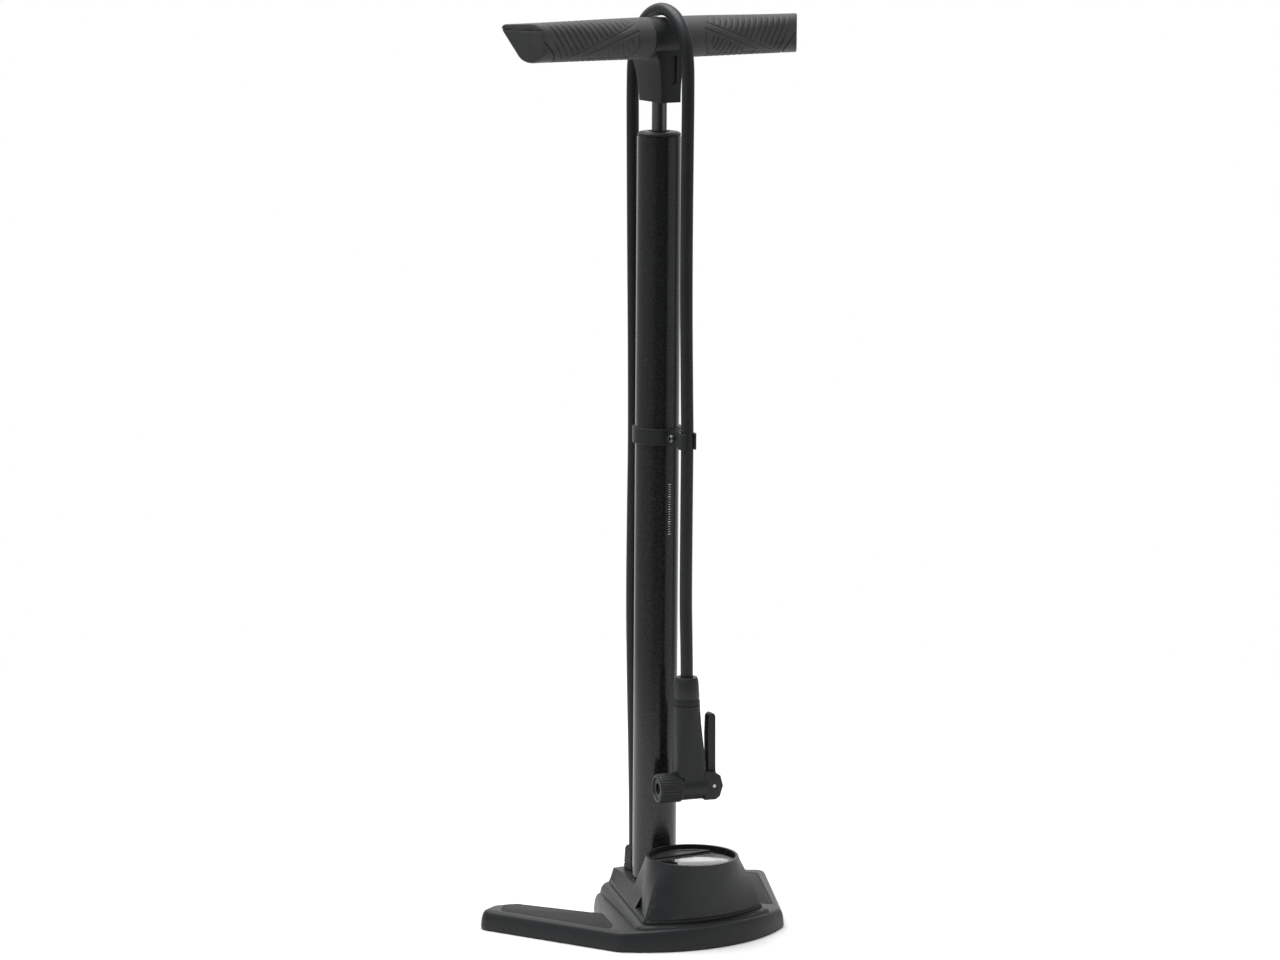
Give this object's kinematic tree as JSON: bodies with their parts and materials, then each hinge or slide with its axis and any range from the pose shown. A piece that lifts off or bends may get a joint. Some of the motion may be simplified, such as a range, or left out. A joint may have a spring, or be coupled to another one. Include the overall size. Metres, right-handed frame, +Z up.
{
  "type": "floor bike pump",
  "caption": "Upright bicycle floor pump with a winged stand-on foot, a digital gauge pod, a T-shaped handle and a rubber hose looped over the handle to a lever valve head.",
  "frame": {"origin": "on the floor, under the barrel's axis", "axes": "+Z up along the barrel; -Y is the front, where the gauge is; +X is to the right seen from the front, along the handle"},
  "size_m": [0.2714, 0.1583, 0.7391],
  "materials": {
    "moulded_plastic": "fine-grained dark grey glass-filled nylon",
    "black_rubber": "matt black rubber",
    "grip_rubber": "matt dark grey soft-touch rubber",
    "hose_rubber": "smooth black rubber hose",
    "black_anodised": "satin black anodised alloy",
    "dark_steel": "dark plated steel",
    "bright_steel": "ground and polished steel",
    "brass": "turned brass",
    "clear_lens": "smoked clear polycarbonate",
    "lcd_glass": "grey-green display glass",
    "circuit_board": "green solder mask"
  },
  "bodies": {
    "pump_base": {"base_foot": "moulded_plastic", "base_cover": "moulded_plastic", "tread_pad_left": "black_rubber", "tread_pad_right": "black_rubber", "foot_pad_centre": "black_rubber", "foot_pad_left": "black_rubber", "foot_pad_right": "black_rubber", "foot_pad_front_left": "black_rubber", "foot_pad_front_right": "black_rubber", "base_screw_1": "dark_steel", "base_screw_2": "dark_steel", "base_screw_3": "dark_steel", "base_screw_4": "dark_steel", "battery_door": "moulded_plastic", "coin_cell": "dark_steel", "hose_barb": "brass", "gauge_gasket": "black_rubber", "gauge_dial": "moulded_plastic", "gauge_lens": "clear_lens", "gauge_lcd": "lcd_glass", "circuit_board": "circuit_board", "button_switch": "dark_steel", "pressure_sensor": "dark_steel", "barrel": "black_anodised", "check_valve_body": "moulded_plastic", "check_valve_spring": "dark_steel", "barrel_cap": "moulded_plastic", "rod_bush": "bright_steel", "top_bumper": "black_rubber", "hose": "hose_rubber", "hose_boot": "moulded_plastic", "hose_clip": "moulded_plastic", "clip_screw": "dark_steel", "clip_nut": "dark_steel", "head_collar": "moulded_plastic", "head_body": "moulded_plastic", "chuck_gasket": "black_rubber", "lever_pin": "bright_steel"},
    "handle_rod": {"piston_rod": "bright_steel", "piston": "moulded_plastic", "piston_seal": "black_rubber", "piston_bolt": "dark_steel", "handle_hub": "moulded_plastic", "handle_core": "dark_steel", "handle_bolt": "dark_steel", "grip_left": "grip_rubber", "grip_right": "grip_rubber", "end_cap_left": "moulded_plastic", "end_cap_right": "moulded_plastic"},
    "mode_button": {"gauge_button": "moulded_plastic"},
    "valve_ball": {"check_valve_ball": "bright_steel"},
    "lever": {"head_lever": "moulded_plastic"},
    "plunger": {"head_plunger": "bright_steel"},
    "chuck_ring": {"chuck_nut": "moulded_plastic"}
  },
  "joints": [
    {"name": "pump_stroke", "type": "slide", "parent": "pump_base", "child": "handle_rod", "axis": [0, 0, 1], "range_m": [0, 0.553], "deforming": ["hose"]},
    {"name": "button_press", "type": "slide", "parent": "pump_base", "child": "mode_button", "axis": [0, 0, -1], "range_m": [0, 0.0008], "stiffness_N_per_m": 400},
    {"name": "valve_lift", "type": "slide", "parent": "pump_base", "child": "valve_ball", "axis": [0, 0, -1], "range_m": [0, 0.0012], "stiffness_N_per_m": 60, "deforming": ["check_valve_spring"]},
    {"name": "lever_flip", "type": "hinge", "parent": "pump_base", "child": "lever", "pos_m": [0.02065, -0.05063, 0.1203], "axis": [0.1822, 0.9833, 0], "range_deg": [0, 90]},
    {"name": "plunger_push", "type": "slide", "parent": "pump_base", "child": "plunger", "axis": [-0.9833, 0.1822, 0], "range_m": [0, 0.003]},
    {"name": "chuck_turn", "type": "hinge", "parent": "pump_base", "child": "chuck_ring", "pos_m": [-0.01475, -0.04407, 0.1198], "axis": [-0.9833, 0.1822, 0], "range_deg": [0, 180]}
  ],
  "couplings": [
    {"joint": "plunger_push", "follows": "lever_flip", "m_per_rad": 0.0019}
  ]
}
